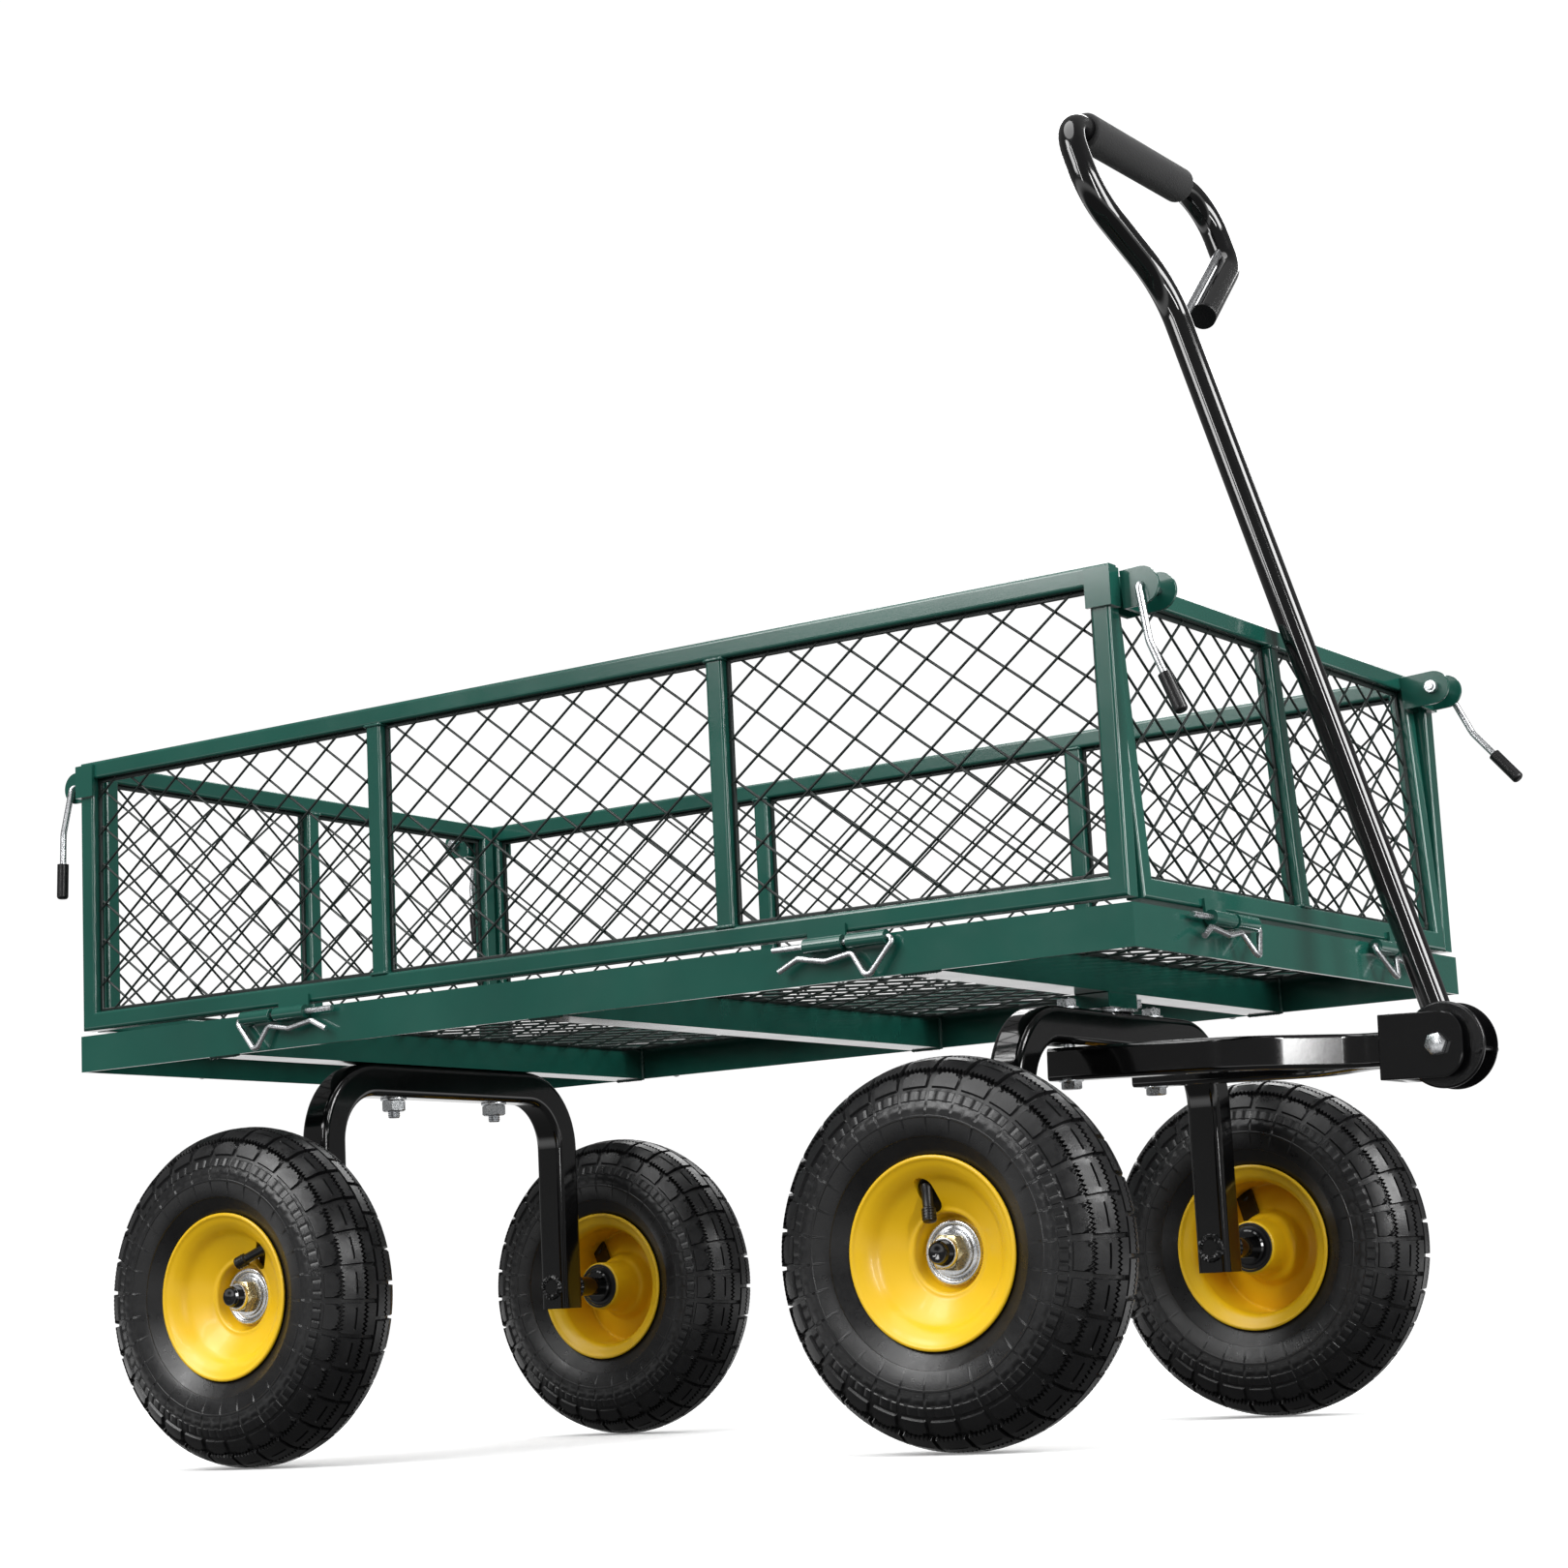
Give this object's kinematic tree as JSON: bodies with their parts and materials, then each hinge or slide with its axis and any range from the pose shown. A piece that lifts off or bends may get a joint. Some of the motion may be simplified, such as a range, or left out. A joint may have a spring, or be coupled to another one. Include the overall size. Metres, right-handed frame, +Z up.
{
  "type": "tow behind cart",
  "caption": "Garden cart with a folding mesh basket on pneumatic tyres, steered front axle, drawbar and a tilting D handle that also serves as a tow loop.",
  "frame": {"origin": "centre of the cart's overall footprint, on the ground", "axes": "+X forward to the drawbar and handle, +Y to the cart's left, +Z up"},
  "size_m": [1.0857, 0.542, 0.9451],
  "materials": {
    "green_paint": "gloss",
    "mesh_wire": "satin",
    "black_paint": "gloss",
    "zinc": "bright",
    "foam": "matte",
    "black_plastic": "satin",
    "tyre_rubber": "satin",
    "yellow_paint": "gloss"
  },
  "bodies": {
    "chassis": {"deck_frame": "green_paint", "deck_crossmembers": "green_paint", "deck_mesh": "mesh_wire", "deck_hinge_barrels": "green_paint", "hinge_pins": "zinc", "king_pin_block": "green_paint", "king_pin": "zinc", "stop_bolt": "green_paint", "rear_axle_arch": "black_paint", "rear_arch_fasteners": "zinc", "rear_stub_axles": "black_paint", "rear_wheel_hardware": "zinc", "front_panel_frame": "green_paint", "front_panel_mesh": "mesh_wire", "front_latch_brackets": "green_paint"},
    "right_panel": {"right_panel_frame": "green_paint", "right_panel_mesh": "mesh_wire"},
    "left_panel": {"left_panel_frame": "green_paint", "left_panel_mesh": "mesh_wire"},
    "rear_panel": {"rear_panel_frame": "green_paint", "rear_panel_mesh": "mesh_wire", "rear_latch_brackets": "green_paint"},
    "front_axle": {"front_axle_arch": "black_paint", "front_stub_axles": "black_paint", "front_wheel_hardware": "zinc", "thrust_washer": "black_paint", "drawbar": "black_paint", "clevis": "black_paint", "pivot_bolt": "zinc", "pivot_spacers": "zinc", "drawbar_fasteners": "zinc"},
    "handle": {"handle_tube": "black_paint", "handle_grip": "foam", "handle_end_cap": "black_plastic", "handle_cover_discs": "black_plastic", "handle_disc_screw": "zinc"},
    "tow_pin": {"tow_pin": "zinc"},
    "latch_front_right": {"latch_lever_front_right": "zinc", "latch_grip_front_right": "black_plastic"},
    "wheel_front_right": {"tyre_front_right": "tyre_rubber", "rim_front_right": "yellow_paint", "bearings_front_right": "zinc"},
    "latch_front_left": {"latch_lever_front_left": "zinc", "latch_grip_front_left": "black_plastic"},
    "wheel_front_left": {"tyre_front_left": "tyre_rubber", "rim_front_left": "yellow_paint", "bearings_front_left": "zinc"},
    "latch_rear_right": {"latch_lever_rear_right": "zinc", "latch_grip_rear_right": "black_plastic"},
    "wheel_rear_right": {"tyre_rear_right": "tyre_rubber", "rim_rear_right": "yellow_paint", "bearings_rear_right": "zinc"},
    "latch_rear_left": {"latch_lever_rear_left": "zinc", "latch_grip_rear_left": "black_plastic"},
    "wheel_rear_left": {"tyre_rear_left": "tyre_rubber", "rim_rear_left": "yellow_paint", "bearings_rear_left": "zinc"}
  },
  "joints": [
    {"name": "steering", "type": "hinge", "parent": "chassis", "child": "front_axle", "pos_m": [0.25985, 0, 0.28], "axis": [0, 0, 1], "range_deg": [-14, 14]},
    {"name": "handle_tilt", "type": "hinge", "parent": "front_axle", "child": "handle", "pos_m": [0.51385, 0, 0.2485], "axis": [0, 1, 0], "range_deg": [0, 105]},
    {"name": "tow_pin_slide", "type": "slide", "parent": "handle", "child": "tow_pin", "axis": [-0.1715, 0.8012, 0.5733], "range_m": [0, 0.014]},
    {"name": "right_panel_fold", "type": "hinge", "parent": "chassis", "child": "right_panel", "pos_m": [-0.04615, -0.2635, 0.332], "axis": [1, 0, 0], "range_deg": [0, 165]},
    {"name": "left_panel_fold", "type": "hinge", "parent": "chassis", "child": "left_panel", "pos_m": [-0.04615, 0.2635, 0.332], "axis": [-1, 0, 0], "range_deg": [0, 165]},
    {"name": "rear_panel_fold", "type": "hinge", "parent": "chassis", "child": "rear_panel", "pos_m": [-0.51665, 0, 0.332], "axis": [0, -1, 0], "range_deg": [0, 165]},
    {"name": "wheel_front_right_spin", "type": "hinge", "parent": "front_axle", "child": "wheel_front_right", "pos_m": [0.25985, -0.231, 0.127], "axis": [0, 1, 0], "continuous": true},
    {"name": "latch_front_right_swing", "type": "hinge", "parent": "chassis", "child": "latch_front_right", "pos_m": [0.43385, -0.25, 0.536], "axis": [0, -1, 0], "range_deg": [-8, 110]},
    {"name": "wheel_front_left_spin", "type": "hinge", "parent": "front_axle", "child": "wheel_front_left", "pos_m": [0.25985, 0.231, 0.127], "axis": [0, 1, 0], "continuous": true},
    {"name": "latch_front_left_swing", "type": "hinge", "parent": "chassis", "child": "latch_front_left", "pos_m": [0.43385, 0.25, 0.536], "axis": [0, -1, 0], "range_deg": [-8, 110]},
    {"name": "wheel_rear_right_spin", "type": "hinge", "parent": "chassis", "child": "wheel_rear_right", "pos_m": [-0.36115, -0.231, 0.127], "axis": [0, 1, 0], "continuous": true},
    {"name": "latch_rear_right_swing", "type": "hinge", "parent": "rear_panel", "child": "latch_rear_right", "pos_m": [-0.52615, -0.25, 0.536], "axis": [0, 1, 0], "range_deg": [-8, 110]},
    {"name": "wheel_rear_left_spin", "type": "hinge", "parent": "chassis", "child": "wheel_rear_left", "pos_m": [-0.36115, 0.231, 0.127], "axis": [0, 1, 0], "continuous": true},
    {"name": "latch_rear_left_swing", "type": "hinge", "parent": "rear_panel", "child": "latch_rear_left", "pos_m": [-0.52615, 0.25, 0.536], "axis": [0, 1, 0], "range_deg": [-8, 110]}
  ]
}
